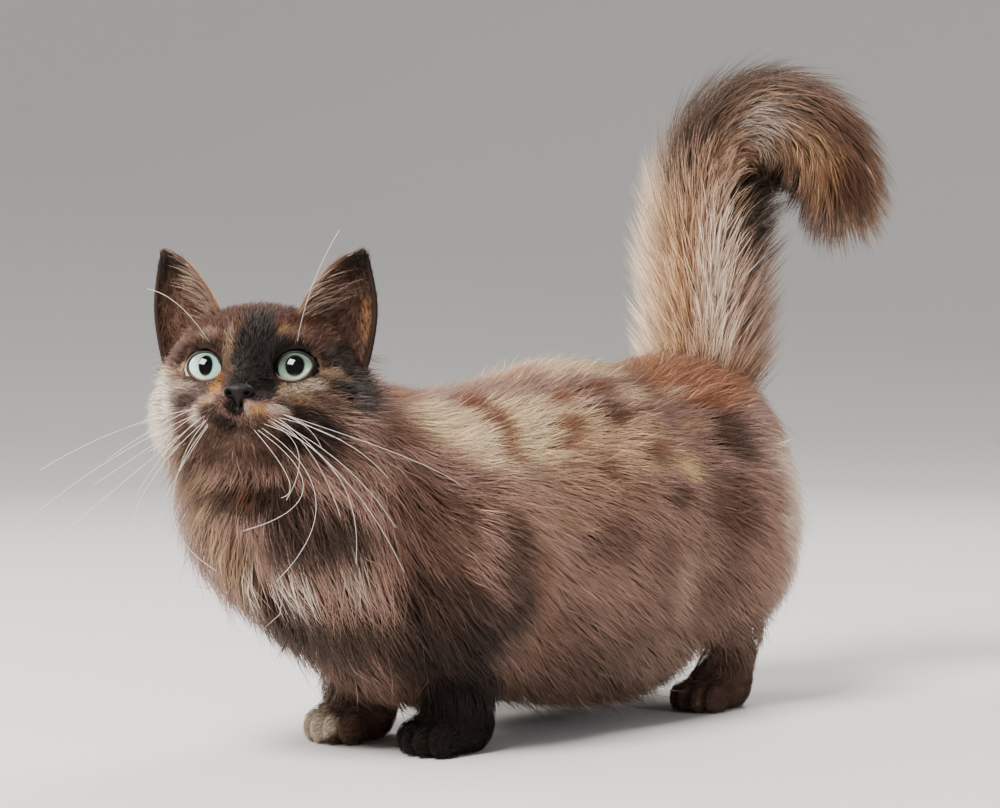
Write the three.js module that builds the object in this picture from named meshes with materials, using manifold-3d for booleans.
// A life-size munchkin cat with a half-long coat. It stands on four short legs with its tail up
// and its head raised and turned to its left.
// Millimetres. -Y is the way the cat faces, +X is its left, +Z is up, and the floor is z = 0.
import * as THREE from "three";
import { ConvexGeometry } from "three/addons/geometries/ConvexGeometry.js";
import { mergeVertices } from "three/addons/utils/BufferGeometryUtils.js";
import Module from "manifold-3d";

const wasm = await Module();
wasm.setup();

const vec = (x, y, z) => new THREE.Vector3(x, y, z);
const rad = THREE.MathUtils.degToRad;
const { lerp, clamp, smoothstep } = THREE.MathUtils;
const up = vec(0, 0, 1);

// Driving sizes, to the outside of the coat
const seamGap = 0.3;
const withersHeight = 171;
const backHeight = 184;
const rumpHeight = 187;
const bellyHeight = 9;
const bodyHalfWidth = 70;
const chestFront = -158;
const rumpRear = 191;
const forePaw = { x: 31, y: -86, turn: -4, halfWidth: 16.5, halfLength: 25, height: 22 };
const hindPaw = { x: 37, y: 112, turn: 8, halfWidth: 15.5, halfLength: 26, height: 20 };
const tailRoot = { x: -1, y: 159, z: 150 };
const eyeHalfSpacing = 20;
const eyeballRadius = 10.8;
const eyeOpening = { halfWidth: 9, top: 7.4, bottom: 7 };
const lidThickness = 1.5;
const earThickness = 2.4;

// The head has a frame of its own: +x to the cat's left, -y out of the face and +z up, with the
// origin midway between the two corneas.
const headPlace = vec(5.5, -190.5, 182.2);
const headYaw = 35.5;
const headPitch = 20;

// A frame at a place, turned about the upright by yaw and then raised at the front by pitch
function frameAt(place, yaw, pitch = 0) {
  const turn = new THREE.Quaternion()
    .setFromAxisAngle(up, rad(yaw))
    .multiply(new THREE.Quaternion().setFromAxisAngle(vec(1, 0, 0), rad(-pitch)));
  return new THREE.Matrix4().compose(place, turn, vec(1, 1, 1));
}
const bodyFrame = new THREE.Matrix4();
const headFrame = frameAt(headPlace, headYaw, headPitch);
const fromHead = headFrame.clone().invert();

// An ellipsoid of the body, as a function from a point to its distance: negative inside.
function mass(centre, radii, frame = bodyFrame) {
  const unplace = new THREE.Matrix4().makeTranslation(...centre).premultiply(frame).invert();
  const size = vec(...radii);
  return (p) => {
    const local = p.clone().applyMatrix4(unplace).divide(size);
    const reach = local.length();
    const slope = local.divide(size).length();
    return slope < 1e-9 ? -Math.min(...radii) : (reach * (reach - 1)) / slope;
  };
}

// A round limb from one point to another, with a radius at each end.
function limb(start, end, startRadius, endRadius, frame = bodyFrame) {
  const from = vec(...start).applyMatrix4(frame);
  const along = vec(...end).applyMatrix4(frame).sub(from);
  return (p) => {
    const t = clamp(p.clone().sub(from).dot(along) / along.lengthSq(), 0, 1);
    return p.distanceTo(from.clone().addScaledVector(along, t)) - lerp(startRadius, endRadius, t);
  };
}

// Several masses as one, with creases filled by the softness in millimetres.
function blended(masses, softness) {
  return (p) =>
    masses
      .map((m) => m(p))
      .reduce((a, b) => {
        const share = Math.max(softness - Math.abs(a - b), 0) / softness;
        return Math.min(a, b) - (share * share * softness) / 4;
      });
}

const bothSides = (make) => [make(1), make(-1)];
const grown = (field, by) => (p) => field(p) - by;

// The point where a ray from inside a field first leaves it, with a search this many steps long
const raySteps = 40;
function castOut(field, from, way, reach) {
  const at = (t) => from.clone().addScaledVector(way, t);
  let low = 0;
  let high = reach / raySteps;
  while (high < reach && field(at(high)) < 0) {
    low = high;
    high += reach / raySteps;
  }
  for (let i = 0; i < 12; i++) {
    const middle = (low + high) / 2;
    if (field(at(middle)) < 0) low = middle;
    else high = middle;
  }
  return at(low);
}

// Joins rings of points into a closed solid that faces out. An end closes on its pole, or where
// it has none, the two halves of its ring are sewn together.
function ringSolid(rings, startPole, endPole) {
  const sides = rings[0].length;
  const points = [...rings.flat(), startPole, endPole].filter(Boolean);
  const at = (ring, k) => ring * sides + ((k + sides) % sides);
  const faces = [];
  for (let ring = 0; ring + 1 < rings.length; ring++) {
    for (let k = 0; k < sides; k++) {
      faces.push([at(ring, k), at(ring, k + 1), at(ring + 1, k + 1)]);
      faces.push([at(ring, k), at(ring + 1, k + 1), at(ring + 1, k)]);
    }
  }
  const close = (ring, pole, flip) => {
    const cap = [];
    for (let k = 0; k < sides; k++) {
      if (pole) cap.push([points.indexOf(pole), at(ring, k), at(ring, k + 1)]);
      if (!pole && k > 0 && 2 * k + 1 < sides) cap.push([at(ring, -k), at(ring, k), at(ring, k + 1)]);
      if (!pole && 2 * k + 2 < sides) cap.push([at(ring, -k), at(ring, k + 1), at(ring, -k - 1)]);
    }
    faces.push(...cap.map(([a, b, c]) => (flip ? [a, c, b] : [a, b, c])));
  };
  close(0, startPole, true);
  close(rings.length - 1, endPole, false);
  const build = (list) =>
    new wasm.Manifold(
      new wasm.Mesh({
        numProp: 3,
        vertProperties: new Float32Array(points.flatMap((p) => p.toArray())),
        triVerts: new Uint32Array(list.flat()),
      }),
    );
  const solid = build(faces);
  return solid.volume() < 0 ? build(faces.map(([a, b, c]) => [a, c, b])) : solid;
}

// A station on a curve: where rays start, the way along, and two ways across.
function stationOn(curve, t, upright) {
  const along = curve.getTangentAt(t);
  const side = upright.clone().cross(along).normalize();
  return { at: curve.getPointAt(t), along, side, over: along.clone().cross(side) };
}

// The way out of a station at an angle round it: 0 is to its side and 90 is over it.
function wayOut(station, angle, tilt = 0) {
  return station.side
    .clone()
    .multiplyScalar(Math.cos(rad(angle)) * Math.cos(rad(tilt)))
    .addScaledVector(station.over, Math.sin(rad(angle)) * Math.cos(rad(tilt)))
    .addScaledVector(station.along, Math.sin(rad(tilt)));
}

// A closed skin over a field: rings are cast out from stations along a path, and the first and
// last stations fan out to close the ends.
function wrap(field, path, { rings, endRings, sides, reach, upright = up }) {
  const curve = new THREE.CatmullRomCurve3(path);
  const fan = Array.from({ length: endRings }, (_, i) => (90 * (i + 1)) / (endRings + 1));
  const places = [
    ...fan.map((tilt) => [0, -tilt]).reverse(),
    ...Array.from({ length: rings }, (_, i) => [i / (rings - 1), 0]),
    ...fan.map((tilt) => [1, tilt]),
  ];
  const loops = places.map(([t, tilt]) => {
    const station = stationOn(curve, t, upright);
    return Array.from({ length: sides }, (_, k) =>
      castOut(field, station.at, wayOut(station, (360 * k) / sides, tilt), reach),
    );
  });
  const start = stationOn(curve, 0, upright);
  const end = stationOn(curve, 1, upright);
  const startPole = castOut(field, start.at, start.along.clone().negate(), reach);
  return ringSolid(loops, startPole, castOut(field, end.at, end.along, reach));
}

// A three.js geometry as a solid, placed by a matrix.
const weldDistance = 1e-3;
function solidFrom(geometry, matrix) {
  const bare = new THREE.BufferGeometry();
  const loose = geometry.index ? geometry.toNonIndexed() : geometry;
  bare.setAttribute("position", loose.getAttribute("position"));
  bare.applyMatrix4(matrix);
  const merged = mergeVertices(bare, weldDistance);
  return new wasm.Manifold(
    new wasm.Mesh({
      numProp: 3,
      vertProperties: merged.attributes.position.array,
      triVerts: new Uint32Array(merged.index.array),
    }),
  );
}

// The space on the side of a plane that its normal points to, shifted along the normal.
function halfSpace({ point, normal }, shift = 0) {
  const size = 1200;
  const way = normal.clone().normalize();
  const turn = new THREE.Quaternion().setFromUnitVectors(up, way);
  const centre = point.clone().addScaledVector(way, size / 2 + shift);
  const place = new THREE.Matrix4().compose(centre, turn, vec(1, 1, 1));
  return solidFrom(new THREE.BoxGeometry(size, size, size), place);
}
const ahead = (cut) => halfSpace(cut, seamGap / 2);
const flipped = ({ point, normal }) => ({ point, normal: normal.clone().negate() });
const behind = (cut) => halfSpace(flipped(cut), seamGap / 2);
const aboveFloor = halfSpace({ point: vec(0, 0, 0), normal: up });
const largest = (solid) => solid.decompose().reduce((a, b) => (b.volume() > a.volume() ? b : a));

// Trunk and neck as one field
const trunkMid = (backHeight + bellyHeight) / 2;
const shoulderMid = (withersHeight + bellyHeight) / 2;
const trunkMasses = [
  mass([0, chestFront + 50, 86], [58, 50, 58]),
  mass([0, -50, shoulderMid + 4], [65, 80, withersHeight - shoulderMid - 4]),
  mass([0, 34, trunkMid + 4], [bodyHalfWidth, 108, backHeight - trunkMid - 4]),
  mass([0, rumpRear - 66, rumpHeight - 74], [bodyHalfWidth - 2, 66, 74]),
  mass([0, rumpRear - 60, 84], [56, 58, 40]),
  ...bothSides((s) => mass([s * 40, -76, 90], [29, 36, 56])),
  ...bothSides((s) => mass([s * 40, 118, 82], [32, 46, 50])),
  ...bothSides((s) => mass([s * 28, 5, bellyHeight + 44], [34, 62, 44])),
];
const neckMasses = [mass([-12, -141, 118], [64, 58, 60]), mass([-4, -112, 130], [52, 50, 44])];
const trunkField = blended([...trunkMasses, ...neckMasses], 22);

// Head: the skull in broad masses and the face in finer ones
const skullMasses = [
  mass([0, 38, 6], [45, 42, 35], headFrame),
  mass([0, 20, -24], [34, 28, 20], headFrame),
  ...bothSides((s) => mass([s * 27.5, 26, -17], [23, 27, 26], headFrame)),
];
const faceMasses = [
  limb([0, 14, 13], [0, -7, -13], 13, 8, headFrame),
  mass([0, -11, -20], [7.5, 8, 6.5], headFrame),
  ...bothSides((s) => mass([s * 10, -5, -25.5], [13.5, 13, 9.5], headFrame)),
  mass([0, -3, -37], [11.5, 10.5, 8.5], headFrame),
  ...bothSides((s) => limb([s * 9, 4, 11], [s * 27, 8, 9.5], 4, 4, headFrame)),
];
const headOnly = blended([blended(skullMasses, 14), blended(faceMasses, 5)], 8);
const wholeField = blended([trunkField, headOnly], 16);

// Where the head, the neck and the torso part
const neckCut = { point: vec(0, -106, 120), normal: vec(0, -1, 0.5) };
const headCut = { point: vec(0, 44, -30).applyMatrix4(headFrame), normal: vec(0.2, -0.7, 0.75) };
const aheadOf = (cut, p) => p.clone().sub(cut.point).dot(cut.normal.clone().normalize());

// How deep the long coat is at a point of the body: the locks reach this far out of the flesh,
// and the core that carries them reaches half of it. The face and the crown have short fur.
function coatDepth(p) {
  const chest = smoothstep(-p.y, 85, 140);
  const belly = 1 - smoothstep(p.z, 30, 90);
  const britches = smoothstep(p.y, 130, 175) * (1 - smoothstep(p.z, 120, 165));
  const body = Math.max(lerp(15, 25, chest), lerp(15, 22, belly), lerp(15, 25, britches));
  const onHead = p.clone().applyMatrix4(fromHead);
  const away = Math.hypot(onHead.x / 36, (onHead.y - 8) / 34, (onHead.z + 2) / 34);
  const crown = smoothstep(onHead.z, 8, 24) * (1 - smoothstep(onHead.y, 50, 75));
  return (1 - crown) * smoothstep(away, 0.95, 1.45) * lerp(13, body, smoothstep(away, 1.4, 2.4));
}
const coreShare = 0.5;
const coreOf = (field) => (p) => field(p) + coreShare * coatDepth(p);

// Skins of the torso and the neck
const longestReach = 130;
const torsoShape = { rings: 11, endRings: 4, sides: 20, reach: longestReach };
const torsoPath = [vec(0, -100, 95), vec(0, 20, 102), vec(0, 128, 108)];
const torsoSkin = (by) => wrap(grown(coreOf(trunkField), by), torsoPath, torsoShape);
const torsoCore = torsoSkin(0).intersect(behind(neckCut));

const neckShape = { rings: 5, endRings: 4, sides: 20, reach: 95, upright: vec(0, -1, 0.2) };
const neckPath = [vec(0, -100, 108), vec(-5, -134, 122), vec(-10, -152, 148)];
const neckSkin = (by) => wrap(grown(coreOf(wholeField), by), neckPath, neckShape);

// Each eyeball sits in a socket behind two lids that leave an almond-shaped opening.
function eyeParts(s) {
  const place = new THREE.Matrix4()
    .makeTranslation(s * eyeHalfSpacing, eyeballRadius - seamGap, 0)
    .premultiply(headFrame);
  const ball = (radius) => solidFrom(new THREE.SphereGeometry(radius, 14, 8).rotateX(Math.PI / 2), place);
  const { halfWidth, top, bottom } = eyeOpening;
  const half = s * halfWidth;
  const opening = new THREE.Shape();
  opening.moveTo(-half, -1.2);
  opening.bezierCurveTo(-half * 0.8, top * 1.2, half * 0.6, top * 1.45, half, 1.2);
  opening.bezierCurveTo(half * 0.7, -bottom * 1.25, -half * 0.6, -bottom * 1.35, -half, -1.2);
  const through = { depth: 2 * eyeballRadius, bevelEnabled: false, curveSegments: 6 };
  const prism = new THREE.ExtrudeGeometry(opening, through).rotateX(Math.PI / 2);
  return {
    eyeball: ball(eyeballRadius),
    lids: ball(eyeballRadius + seamGap + lidThickness),
    hole: ball(eyeballRadius + seamGap).add(solidFrom(prism, place)),
  };
}
const eyes = { left: eyeParts(1), right: eyeParts(-1) };

// Nose leather with two nostrils
function noseSkin(by) {
  const masses = [
    ...bothSides((s) => mass([s * 4.2, -16, -18], [4.2, 4.5, 3.8], headFrame)),
    mass([0, -17.5, -18.5], [4, 4, 4.5], headFrame),
    mass([0, -16, -23], [2.2, 3, 3], headFrame),
  ];
  const path = [vec(0, -13, -19), vec(0, -15.5, -19)].map((p) => p.applyMatrix4(headFrame));
  return wrap(grown(blended(masses, 2), by), path, { rings: 2, endRings: 3, sides: 14, reach: 14 });
}
const nostril = (s) => {
  const turn = new THREE.Quaternion().setFromEuler(new THREE.Euler(0, rad(s * -25), 0));
  const place = new THREE.Matrix4().compose(vec(s * 4.8, -20, -19), turn, vec(1.9, 3, 1.2));
  return solidFrom(new THREE.SphereGeometry(1, 8, 6), place.premultiply(headFrame));
};
const nose = largest(noseSkin(0).subtract(nostril(1)).subtract(nostril(-1)));

// A groove laid over the face through points given across and up
function groove(points, radius) {
  const out = vec(0, -1, 0).transformDirection(headFrame);
  const onFace = points.map(([x, z]) => castOut(wholeField, vec(x, 14, z).applyMatrix4(headFrame), out, 50));
  const curve = new THREE.CatmullRomCurve3(onFace);
  const circle = new THREE.Shape().absarc(0, 0, radius, 0, 2 * Math.PI);
  const along = { extrudePath: curve, steps: 2 * points.length, curveSegments: 5, bevelEnabled: false };
  return solidFrom(new THREE.ExtrudeGeometry(circle, along), bodyFrame);
}
const lipLine = [[0, -28], [5, -31.5], [12, -33], [18, -31], [21, -27]];
const mouth = [
  groove([[0, -23], [0, -26], [0, -28.5]], 0.8),
  ...bothSides((s) => groove(lipLine.map(([x, z]) => [s * x, z]), 0.9)),
];

const headShape = { rings: 5, endRings: 7, sides: 28, reach: 80 };
const headPath = [vec(0, 34, -6), vec(0, 8, -15)].map((p) => p.applyMatrix4(headFrame));
const headSkin = (by) => wrap(grown(coreOf(wholeField), by), headPath, headShape);
const face = headSkin(0).intersect(ahead(headCut)).add(eyes.left.lids).add(eyes.right.lids);
const hollows = [eyes.left.hole, eyes.right.hole, noseSkin(seamGap), ...mouth];
const headCore = largest(hollows.reduce((solid, hollow) => solid.subtract(hollow), face));

// Whiskers: a fan of stiff hairs from a small pad on each side of the muzzle. The upper ones reach
// out and back and the lower ones hang. Real ones are under half a millimetre thick, and these
// are thicker so that they stay whole.
const whiskerPad = { x: 14, y: -15, z: -25.5, radius: 4.8 };
const whiskerCount = 5;
const whiskerRadii = [0.8, 0.7, 0.5];
const whiskerPlaces = [0, 0.3, 0.68];
const upperWhisker = { droop: 10, length: 98, back: 54 };
const lowerWhisker = { droop: 92, length: 66, back: 14 };
const whiskerArch = 0.1;
const whiskerLead = 4;
const padBall = (s, by) => {
  const place = new THREE.Matrix4().makeTranslation(s * whiskerPad.x, whiskerPad.y, whiskerPad.z);
  return solidFrom(new THREE.SphereGeometry(whiskerPad.radius + by, 7, 4), place.premultiply(headFrame));
};
function whisker(s, k) {
  const t = k / (whiskerCount - 1);
  const droop = rad(lerp(upperWhisker.droop, lowerWhisker.droop, t));
  const length = lerp(upperWhisker.length, lowerWhisker.length, t);
  const back = lerp(upperWhisker.back, lowerWhisker.back, t);
  const root = vec(s * whiskerPad.x, whiskerPad.y, whiskerPad.z);
  const tip = root.clone().add(vec(s * Math.cos(droop) * length, back, -Math.sin(droop) * length));
  const arch = vec(s * Math.sin(droop), 0, Math.cos(droop)).multiplyScalar(whiskerArch * length);
  const bend = root.clone().lerp(tip, 0.5).add(arch);
  bend.y = root.y + 0.16 * back - whiskerLead;
  const [start, middle, end] = [root, bend, tip].map((p) => p.applyMatrix4(headFrame));
  const pull = middle.clone().multiplyScalar(2).addScaledVector(start, -0.5).addScaledVector(end, -0.5);
  const curve = new THREE.QuadraticBezierCurve3(start, pull, end);
  const rings = whiskerPlaces.map((place, i) => {
    const along = curve.getTangent(place);
    const side = along.clone().cross(up).normalize();
    const over = side.clone().cross(along);
    return [90, 210, 330].map((angle) =>
      curve
        .getPoint(place)
        .addScaledVector(side, whiskerRadii[i] * Math.cos(rad(angle)))
        .addScaledVector(over, whiskerRadii[i] * Math.sin(rad(angle))),
    );
  });
  return ringSolid(rings, null, end);
}
function whiskerSet(s) {
  const fan = Array.from({ length: whiskerCount }, (_, k) => whisker(s, k));
  return largest(wasm.Manifold.union([headCore.intersect(padBall(s, 0)), ...fan]));
}
const muzzle = headCore.subtract(padBall(1, seamGap)).subtract(padBall(-1, seamGap));

// An ear is a bent sheet between its inner edge and its outer edge. It bulges back into a cup.
function ear(s) {
  const edge = (points) => new THREE.CatmullRomCurve3(points.map(([x, y, z]) => vec(s * x, y, z)));
  const inner = edge([[17, 16, 24], [23, 14, 38], [34, 14, 52], [44, 17, 60.5]]);
  const outer = edge([[44, 42, 4], [49, 37, 22], [50.5, 30, 40], [46, 18.5, 60.5]]);
  const backWay = vec(s * -0.35, 0.9, 0.1).normalize();
  const rings = 8;
  const folds = 6;
  const loops = Array.from({ length: rings }, (_, i) => {
    const t = i / (rings - 1);
    const [a, b] = [inner.getPoint(t), outer.getPoint(t)];
    const bulge = a.distanceTo(b) * lerp(0.42, 0.3, t);
    const arc = (inset) =>
      Array.from({ length: folds + 1 }, (_, k) => {
        const across = (1 - Math.cos((Math.PI * k) / folds)) / 2;
        const back = Math.sin((Math.PI * k) / folds);
        return a.clone().lerp(b, across).addScaledVector(backWay, back * (bulge - inset));
      });
    return [...arc(0), ...arc(earThickness).slice(1, -1).reverse()].map((p) => p.applyMatrix4(headFrame));
  });
  return ringSolid(loops);
}

// The tail rises, bends over to the cat's left and hangs down.
const tailLean = vec(0.94, 0.34, 0);
const tailStem = [[-2, 0], [-1, 35], [0, 85], [2, 112]];
const tailBend = [[8, 136], [20, 153], [40, 158], [60, 148], [71, 128], [76, 100]];
const tailCurve = new THREE.CatmullRomCurve3(
  [...tailStem, ...tailBend].map(([lean, rise]) =>
    vec(tailRoot.x, tailRoot.y, tailRoot.z + rise).addScaledVector(tailLean, lean),
  ),
);
const tailLength = tailCurve.getLength();
const tailAcross = up.clone().cross(tailLean);
const plumeStops = [[0, 34], [0.14, 41], [0.42, 43], [0.62, 37], [0.85, 31], [1, 20]];
function plumeAt(t) {
  const next = plumeStops.findIndex(([at]) => at >= t);
  if (next <= 0) return plumeStops[0][1];
  const [[a, ra], [b, rb]] = [plumeStops[next - 1], plumeStops[next]];
  return lerp(ra, rb, smoothstep(t, a, b));
}
// The plume's reach at an angle round the tail: it is shorter on the inner side of the bend, at 0.
function tailReach(t, angle) {
  const bent = smoothstep(t, 0.32, 0.5) - smoothstep(t, 0.8, 0.95);
  return plumeAt(t) * (1 - 0.5 * bent * Math.max(Math.cos(rad(angle)), 0));
}
// The core reaches less than half way out to the tips of the plume.
const tailCoreShare = 0.46;
function tailPoint(t, angle, radius) {
  const station = stationOn(tailCurve, Math.min(t, 1), tailAcross);
  const beyond = Math.max(t - 1, 0) * tailLength;
  const centre = station.at.clone().addScaledVector(station.along, beyond);
  return centre.addScaledVector(wayOut(station, angle), radius);
}
function tailTube(from, to, rings, sides, by = 0) {
  const loops = Array.from({ length: rings }, (_, i) => {
    const t = lerp(from, to, i / (rings - 1));
    const angles = Array.from({ length: sides }, (_, k) => (360 * k) / sides);
    return angles.map((angle) => tailPoint(t, angle, tailCoreShare * tailReach(t, angle) + by));
  });
  return ringSolid(loops, tailCurve.getPointAt(from), tailCurve.getPointAt(to));
}
const tailParts = [
  ["tail_base", 0, 0.25],
  ["tail_middle", 0.25, 0.48],
  ["tail_bend", 0.48, 0.74],
  ["tail_tip", 0.74, 1],
];

// A flat lock of hair along a line of points, each with the way out of the coat. It is widest
// near its root and tapers to a point.
const bladeWidths = [0.5, 1, 0.78];
const bladeDepths = [0.9, 1, 0.7];
const bladeGap = 0.4;
const tipStretch = 5;
function bladeRings(line, ways, width, depth, by) {
  const last = line.length - 1;
  return line.slice(0, last).map((p, i) => {
    const along = line[i + 1].clone().sub(line[Math.max(i - 1, 0)]).normalize();
    const across = ways[i].clone().cross(along).normalize();
    const out = along.cross(across);
    const half = (width * bladeWidths[i]) / 2;
    const thick = depth * bladeDepths[i];
    const inner = (half * thick) / (half + Math.hypot(half, thick));
    const swell = 1 + by / inner;
    const foot = p.clone().addScaledVector(out, -inner * swell);
    return [
      foot.clone().addScaledVector(across, half * swell),
      foot.clone().addScaledVector(out, thick * swell),
      foot.clone().addScaledVector(across, -half * swell),
    ];
  });
}
function blade({ line, ways, width, depth }) {
  return ringSolid(bladeRings(line, ways, width, depth, 0), null, line.at(-1));
}

// The room of a lock: each length of it is made convex and larger all round.
function bladeRoom({ line, ways, width, depth }) {
  const rings = bladeRings(line, ways, width, depth, bladeGap);
  const tipWay = line.at(-1).clone().sub(line.at(-2)).normalize();
  const ends = [...rings, [line.at(-1).clone().addScaledVector(tipWay, tipStretch * bladeGap)]];
  return rings.map((ring, i) => solidFrom(new ConvexGeometry([...ring, ...ends[i + 1]]), bodyFrame));
}

// Draws that are the same on every run, from a seed and a well-known multiplier and prime
let drawn = 25;
const drawFactor = 16807;
const drawPrime = 2147483647;
function draw(low, high) {
  drawn = (drawn * drawFactor) % drawPrime;
  return lerp(low, high, drawn / drawPrime);
}

// The way the coat lies: back along the body and down its sides, down the chest, the rump and
// the belly, and back and down from the face.
function lieAt(p) {
  const chest = smoothstep(-p.y, 80, 150);
  const rump = smoothstep(p.y, 120, 170);
  const side = 1 - smoothstep(p.z, 70, 175);
  const back = (1 - 0.75 * chest) * (1 - 0.8 * rump);
  const down = Math.max(0.1 + 0.75 * side, chest, rump);
  return vec(0.25 * Math.sign(p.x) * chest, back, -down).normalize();
}
const slopeStep = 0.8;
function slopeOf(field, p) {
  const rise = (x, y, z) => {
    const way = vec(x, y, z).multiplyScalar(slopeStep);
    return field(p.clone().add(way)) - field(p.clone().sub(way));
  };
  return vec(rise(1, 0, 0), rise(0, 1, 0), rise(0, 0, 1)).normalize();
}

// A lock of the body's coat. Its line starts under the core, follows the lie and rises to the
// outside of the coat at its tip. A turn swings it to one side.
const lockPlaces = [0, 0.26, 0.66, 1];
const lockRises = [-0.55, 0.6, 0.98, 1.15];
function coatLine(root, length, turn, lie = lieAt) {
  const p = root.clone();
  const line = [];
  const ways = [];
  lockPlaces.forEach((place, i) => {
    const way = slopeOf(wholeField, p);
    const level = -coreShare * coatDepth(p) * (1 - lockRises[i]);
    p.addScaledVector(way, level - wholeField(p));
    line.push(p.clone());
    ways.push(way);
    const along = lie(p).projectOnPlane(way).normalize().applyAxisAngle(way, turn);
    p.addScaledVector(along, length * ((lockPlaces[i + 1] ?? 1) - place));
  });
  return [line, ways];
}

// Locks spread evenly over a stretch of the body. Many places are drawn, and the next root is
// always the place farthest from the roots so far, as counted in lengths and widths of a lock.
const lockDepthShare = 0.22;
const endTilt = 100;
function coatLocks(path, { draws, count, width, length, upright = up, keep, lie = lieAt }) {
  const curve = new THREE.CatmullRomCurve3(path);
  const spots = [];
  for (let i = 0; i < draws; i++) {
    const place = draw(-0.8, 1.8);
    const t = clamp(place, 0, 1);
    const way = wayOut(stationOn(curve, t, upright), draw(0, 360), endTilt * (place - t));
    const root = castOut(coreOf(wholeField), curve.getPointAt(t), way, longestReach);
    const out = slopeOf(wholeField, root);
    const along = lie(root).projectOnPlane(out).normalize();
    if (keep(root)) spots.push({ root, out, along, across: out.clone().cross(along), clear: Infinity });
  }
  const chosen = [];
  while (chosen.length < count) {
    const next = spots.reduce((a, b) => (b.clear > a.clear ? b : a));
    chosen.push(next.root);
    for (const spot of spots) {
      const step = next.root.clone().sub(spot.root);
      const across = step.dot(spot.across) / width;
      const apart = Math.hypot(step.dot(spot.along) / length, across, step.dot(spot.out) / length);
      spot.clear = Math.min(spot.clear, apart);
    }
  }
  return chosen.map((root) => {
    const size = draw(0.9, 1.1);
    const [line, ways] = coatLine(root, length * size, draw(-0.15, 0.15), lie);
    return { line, ways, width: width * size, depth: lockDepthShare * coatDepth(root) };
  });
}

// Each leg and its paw are one field, parted at the wrist or the hock.
function legParts(s, paw, legMasses, path, cut) {
  const frame = frameAt(vec(s * paw.x, paw.y, 0), s * paw.turn);
  const { halfWidth, halfLength, height } = paw;
  const middle = height * 0.42;
  const toes = [-1.3, -0.46, 0.46, 1.3].map((k) => {
    const centre = [k * halfWidth * 0.52, -halfLength * (0.66 - 0.09 * k * k), middle - 1.5];
    return mass(centre, [halfWidth * 0.31, halfLength * 0.42, height * 0.44], frame);
  });
  const sole = mass([0, 2, middle], [halfWidth, halfLength * 0.85, height * 0.58], frame);
  const field = blended([blended([sole, ...toes], 3), ...legMasses], 8);
  const pawPath = [vec(0, -9, middle), vec(0, 6, middle)].map((p) => p.applyMatrix4(frame));
  const upper = wrap(field, path, { rings: 5, endRings: 2, sides: 12, reach: 60, upright: vec(0, 1, 0.1) });
  const lower = wrap(field, pawPath, { rings: 3, endRings: 3, sides: 18, reach: 45 });
  return {
    leg: upper.intersect(ahead(cut)),
    paw: largest(lower.intersect(behind(cut)).intersect(aboveFloor)),
  };
}
const foreLeg = (s) =>
  legParts(
    s,
    forePaw,
    [limb([s * 30, -70, 52], [s * forePaw.x, forePaw.y + 8, 20], 20, 15.5)],
    [vec(s * 30, -70, 52), vec(s * forePaw.x, forePaw.y + 8, 15)],
    { point: vec(s * forePaw.x, forePaw.y, 19), normal: vec(0, 0.45, 1) },
  );
const hindLeg = (s) =>
  legParts(
    s,
    hindPaw,
    [
      limb([s * 34, 116, 56], [s * hindPaw.x, hindPaw.y + 17, 40], 21, 17),
      limb([s * hindPaw.x, hindPaw.y + 16, 38], [s * hindPaw.x, hindPaw.y + 10, 14], 18, 14.5),
    ],
    [vec(s * 34, 116, 56), vec(s * hindPaw.x, hindPaw.y + 15, 38), vec(s * hindPaw.x, hindPaw.y + 11, 15)],
    { point: vec(s * hindPaw.x, hindPaw.y, 17), normal: vec(0, 0.45, 1) },
  );

const furMaterial = new THREE.MeshStandardMaterial({ color: 0x9c7b66, roughness: 0.9, metalness: 0 });
const pointMaterial = new THREE.MeshStandardMaterial({ color: 0x3d2b26, roughness: 0.85, metalness: 0 });
const eyeMaterial = new THREE.MeshStandardMaterial({ color: 0xa8c8b4, roughness: 0.08, metalness: 0 });
const whiskerMaterial = new THREE.MeshStandardMaterial({ color: 0xf0ebe4, roughness: 0.4, metalness: 0 });
const leatherMaterial = new THREE.MeshStandardMaterial({ color: 0x1c1718, roughness: 0.55, metalness: 0 });

const nodes = [];
const addNode = (name, solid, material) => nodes.push({ name, solid, material });
function geometryOf(solid) {
  const made = solid.getMesh();
  const vertices = new Float32Array(made.numVert * 3);
  for (let i = 0; i < made.numVert; i++) {
    vertices.set(made.vertProperties.subarray(i * made.numProp, i * made.numProp + 3), i * 3);
  }
  return new THREE.BufferGeometry()
    .setAttribute("position", new THREE.BufferAttribute(vertices, 3))
    .setIndex(new THREE.BufferAttribute(made.triVerts, 1));
}

// The long coat of the torso, the neck and the cheeks. Roots keep clear of the partings, of the
// floor and of short fur.
const rootClear = 4;
const lowestRoot = 15;
const shortFur = 8;
const torsoLocks = coatLocks(torsoPath, {
  draws: 1500,
  count: 62,
  width: 41,
  length: 77,
  keep: (root) => aheadOf(neckCut, root) < -rootClear && root.z > lowestRoot,
});
const neckLocks = coatLocks(neckPath, {
  draws: 700,
  count: 26,
  width: 29,
  length: 58,
  upright: neckShape.upright,
  keep: (root) => aheadOf(neckCut, root) > rootClear && aheadOf(headCut, root) < -rootClear,
});
const headLocks = coatLocks(headPath, {
  draws: 700,
  count: 20,
  width: 18,
  length: 34,
  keep: (root) => aheadOf(headCut, root) > rootClear && coatDepth(root) > shortFur,
});

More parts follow.
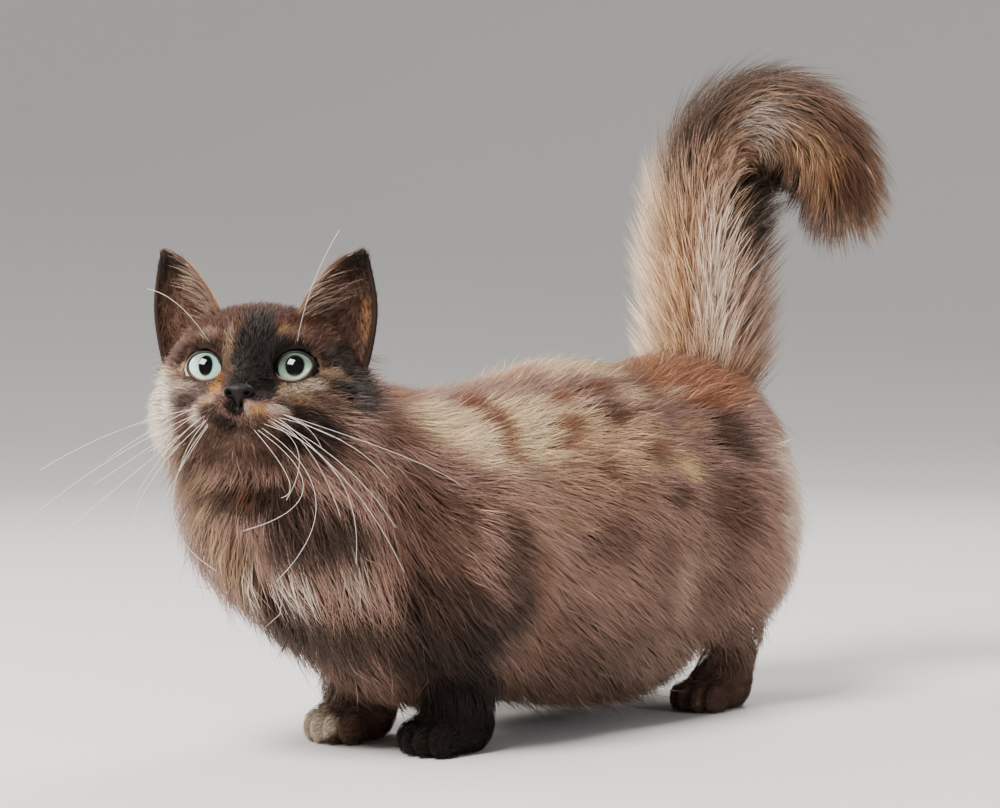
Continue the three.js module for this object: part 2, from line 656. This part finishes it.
// The plume of the tail, in two rows to a node. Its first locks leave the core just above the
// rump, and lower at the rear. On the inner side of the bend they are shorter and narrower.
const rumpClear = 0.085;
const rearDrop = 0.04;
const lastRoot = 0.95;
const plumeEnd = 1.03;
const plumeLock = { width: 33, depth: 5, shortest: 52, longest: 60 };
const perRow = 5;
function tailLocks(from, to) {
  const locks = [];
  for (let i = 0; i < 2 * perRow; i++) {
    const row = Math.floor(i / perRow);
    const angle = ((i % perRow) + row / 2) * (360 / perRow) + draw(-6, 6);
    const first = Math.max(from, rumpClear - rearDrop * Math.sin(rad(angle)));
    const start = lerp(first, Math.min(to, lastRoot), (row + 0.3) / 2) + draw(-0.01, 0.01);
    const bent = tailReach(start, angle) / plumeAt(start);
    const full = draw(plumeLock.shortest, plumeLock.longest) * lerp(0.6, 1, bent);
    const length = Math.min(full, (plumeEnd - start) * tailLength);
    const line = [];
    const ways = [];
    lockPlaces.forEach((place, k) => {
      const t = start + (place * length) / tailLength;
      const reach = tailReach(Math.min(t, 1), angle);
      line.push(tailPoint(t, angle, lerp(tailCoreShare * reach, reach, lockRises[k])));
      ways.push(wayOut(stationOn(tailCurve, Math.min(t, 1), tailAcross), angle));
    });
    locks.push({ line, ways, width: plumeLock.width * lerp(0.7, 1, bent), depth: plumeLock.depth });
  }
  return locks;
}

// Nodes with locks, in the order in which their coats lie over one another. Each one's room is
// its core with the gap that its neighbours keep.
const roomAhead = (cut) => halfSpace(cut, -seamGap / 2);
const roomBehind = (cut) => halfSpace(flipped(cut), -seamGap / 2);
const halfGap = seamGap / 2 / tailLength;
const headRoom = headSkin(seamGap);
const torsoRoom = torsoSkin(seamGap);
const coated = [
  { name: "head", core: muzzle, room: headRoom.intersect(roomAhead(headCut)), locks: headLocks },
  {
    name: "neck",
    core: neckSkin(0).intersect(ahead(neckCut)).intersect(behind(headCut)),
    room: neckSkin(seamGap).intersect(roomAhead(neckCut)).intersect(roomBehind(headCut)),
    locks: neckLocks,
  },
  { name: "torso", core: torsoCore, room: torsoRoom.intersect(roomBehind(neckCut)), locks: torsoLocks },
  ...tailParts.map(([name, from, to]) => ({
    name,
    core: tailTube(from + halfGap, to - halfGap, 7, 12).subtract(torsoRoom),
    room: tailTube(Math.max(from - halfGap, 0), Math.min(to + halfGap, 1), 7, 12, seamGap),
    locks: tailLocks(from, to),
  })),
];
const taken = [];
for (const { name, core, room, locks } of coated) {
  const fused = wasm.Manifold.union([core, ...locks.map(blade)]);
  const clear = taken.reduce((left, other) => left.subtract(other), fused);
  addNode(name, largest(clear), furMaterial);
  taken.push(wasm.Manifold.union([room, ...locks.flatMap(bladeRoom)]));
}

addNode("nose", nose, leatherMaterial);
for (const [side, s] of [["left", 1], ["right", -1]]) {
  addNode("eye_" + side, eyes[side].eyeball, eyeMaterial);
  addNode("whiskers_" + side, whiskerSet(s), whiskerMaterial);
  addNode("ear_" + side, largest(ear(s).subtract(headRoom).subtract(taken[0])), pointMaterial);
  for (const [end, { leg, paw }] of [["front", foreLeg(s)], ["hind", hindLeg(s)]]) {
    const clear = taken.reduce((left, other) => left.subtract(other), leg.subtract(torsoRoom));
    addNode("leg_" + end + "_" + side, largest(clear), furMaterial);
    addNode("paw_" + end + "_" + side, paw, pointMaterial);
  }
}

// The finished cat stands with the middle of its box over the origin. Each node is taken through
// a mesh twice, so that a hollow that welding its points seals is filled too.
const box = new THREE.Box3();
for (const { solid } of nodes) {
  const { min, max } = solid.boundingBox();
  box.expandByPoint(vec(...min)).expandByPoint(vec(...max));
}
const middle = box.getCenter(vec(0, 0, 0));
const cat = new THREE.Group();
for (const { name, solid, material } of nodes) {
  const placed = largest(solid).translate([-middle.x, -middle.y, 0]);
  const welded = largest(solidFrom(geometryOf(placed), bodyFrame));
  const geometry = geometryOf(largest(solidFrom(geometryOf(welded), bodyFrame)));
  geometry.computeVertexNormals();
  const mesh = new THREE.Mesh(geometry, material);
  mesh.name = name;
  cat.add(mesh);
}

export default cat;
